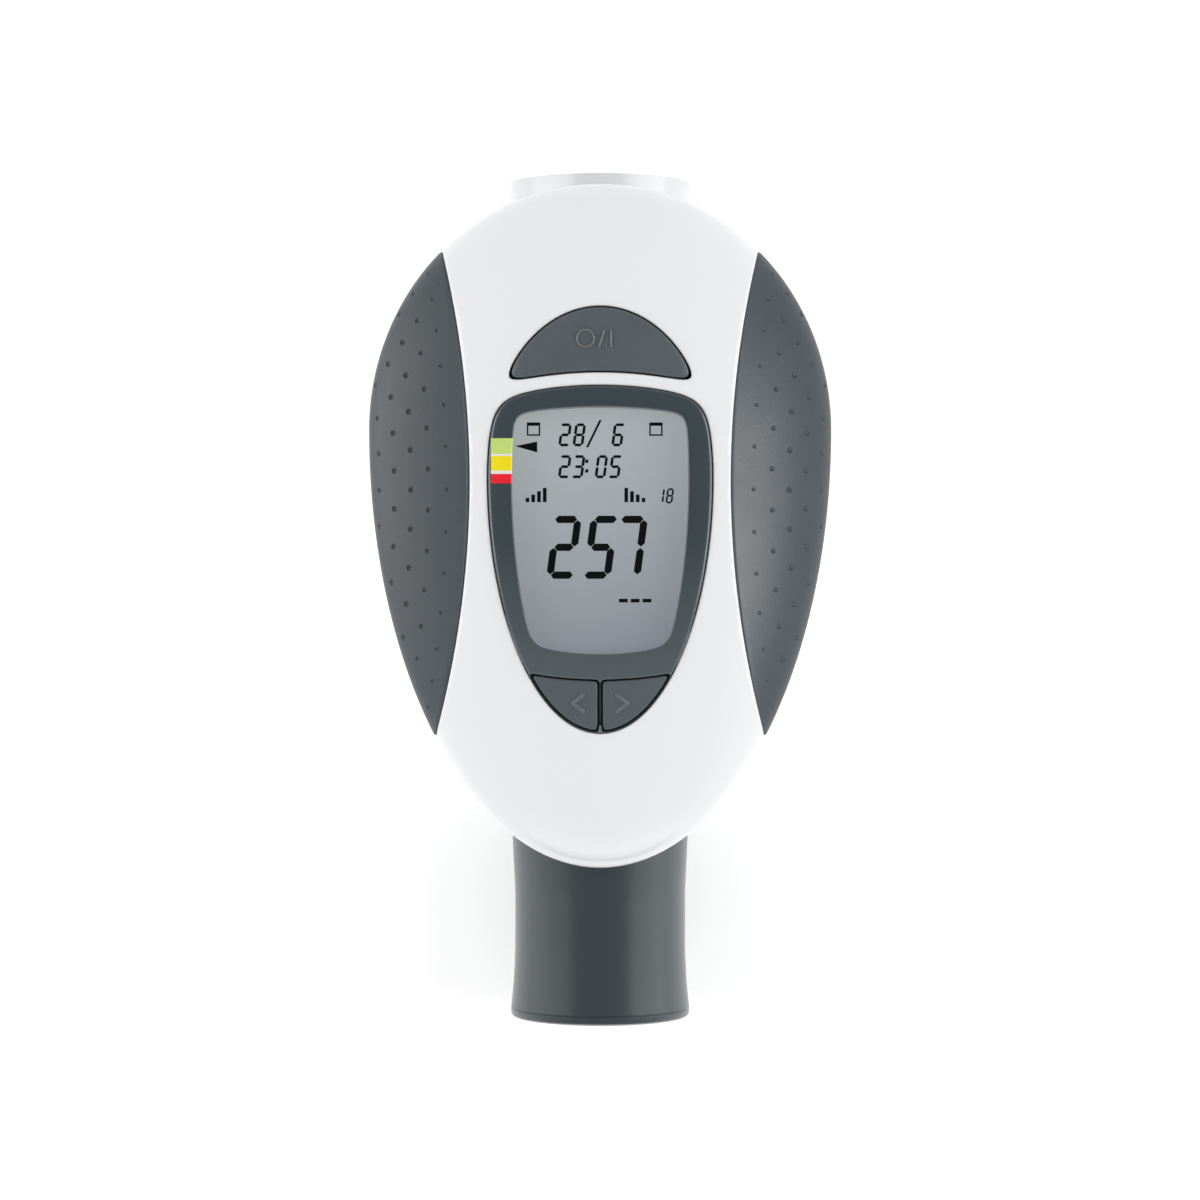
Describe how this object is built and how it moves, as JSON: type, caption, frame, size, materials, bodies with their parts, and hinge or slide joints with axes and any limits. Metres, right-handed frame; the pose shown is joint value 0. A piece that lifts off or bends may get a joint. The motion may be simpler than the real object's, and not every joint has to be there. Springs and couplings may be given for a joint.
{
  "type": "peak flow meter",
  "caption": "Electronic peak flow meter: egg-shaped case with display, half-moon power button, side grips and a pull-out flow tube with round mouthpiece.",
  "frame": {"origin": "middle of the meter's footprint on the surface that it lies on, display up", "axes": "+Z towards the display side, +X to the display's right, +Y away from the mouthpiece; the flow axis runs along Y at z = 15.6 mm"},
  "size_m": [0.077, 0.144, 0.0484],
  "materials": {
    "white_case": "glossy moulded white plastic",
    "grip_rubber": "dimpled matte dark grey elastomer",
    "bezel_gloss": "glossy dark slate plastic",
    "lens_clear": "clear polished window",
    "lcd_glass": "silver-grey reflective liquid crystal panel",
    "inner_plastic": "matte natural moulding",
    "elastomer": "striped conductive elastomer",
    "zone_green": "printed film",
    "zone_yellow": "printed film",
    "zone_red": "printed film",
    "button_grey": "matte dark grey key cap",
    "switch_black": "black moulded switch",
    "board_green": "green solder mask",
    "chip_black": "black moulded package",
    "shield_tin": "tinned shield can",
    "lamp_tint": "dark tinted epoxy",
    "cell_jacket": "shrink sleeve with bare steel ends",
    "spring_steel": "nickel-plated spring steel",
    "screw_steel": "zinc-plated steel",
    "mouth_grey": "satin dark grey plastic",
    "tube_smoke": "smooth pale tube, passes infrared",
    "seal_black": "black ring",
    "jewel_red": "polished synthetic jewel",
    "vane_foil": "thin dark vane"
  },
  "bodies": {
    "case": {"front_shell": "white_case", "rear_shell": "white_case", "barrel": "white_case", "left_grip": "grip_rubber", "right_grip": "grip_rubber", "display_bezel": "bezel_gloss", "display_lens": "lens_clear", "lcd_panel": "lcd_glass", "lcd_holder": "inner_plastic", "connector_strips": "elastomer", "green_zone": "zone_green", "yellow_zone": "zone_yellow", "red_zone": "zone_red", "power_switch": "switch_black", "back_switch": "switch_black", "forward_switch": "switch_black", "main_board": "board_green", "microcontroller": "chip_black", "radio_module": "shield_tin", "buzzer": "chip_black", "infrared_emitter": "lamp_tint", "infrared_receiver": "lamp_tint", "left_battery_cell": "cell_jacket", "right_battery_cell": "cell_jacket", "battery_contacts": "spring_steel", "battery_springs": "spring_steel", "case_screws": "screw_steel", "board_screws": "screw_steel"},
    "power_key": {"power_button": "button_grey", "power_plunger": "switch_black"},
    "back_key": {"back_button": "button_grey", "back_plunger": "switch_black"},
    "forward_key": {"forward_button": "button_grey", "forward_plunger": "switch_black"},
    "door": {"battery_door": "white_case"},
    "cartridge": {"mouthpiece": "mouth_grey", "measuring_tube": "tube_smoke", "tube_seals": "seal_black", "inlet_swirler": "inner_plastic", "outlet_spider": "inner_plastic", "bearing_jewels": "jewel_red"},
    "rotor": {"rotor_vane": "vane_foil", "rotor_axle": "spring_steel"}
  },
  "joints": [
    {"name": "power_press", "type": "slide", "parent": "case", "child": "power_key", "axis": [0, 0, -1], "range_m": [0, 0.0008], "stiffness_N_per_m": 2500, "springref_m": -0.0002},
    {"name": "back_press", "type": "slide", "parent": "case", "child": "back_key", "axis": [0, 0, -1], "range_m": [0, 0.0008], "stiffness_N_per_m": 2500, "springref_m": -0.0002},
    {"name": "forward_press", "type": "slide", "parent": "case", "child": "forward_key", "axis": [0, 0, -1], "range_m": [0, 0.0008], "stiffness_N_per_m": 2500, "springref_m": -0.0002},
    {"name": "door_lift", "type": "slide", "parent": "case", "child": "door", "axis": [0, 0, -1], "range_m": [0, 0.03]},
    {"name": "cartridge_pull", "type": "slide", "parent": "case", "child": "cartridge", "axis": [0, -1, 0], "range_m": [0, 0.11]},
    {"name": "rotor_spin", "type": "hinge", "parent": "cartridge", "child": "rotor", "pos_m": [0, 0.008, 0.0156], "axis": [0, 1, 0], "continuous": true}
  ]
}
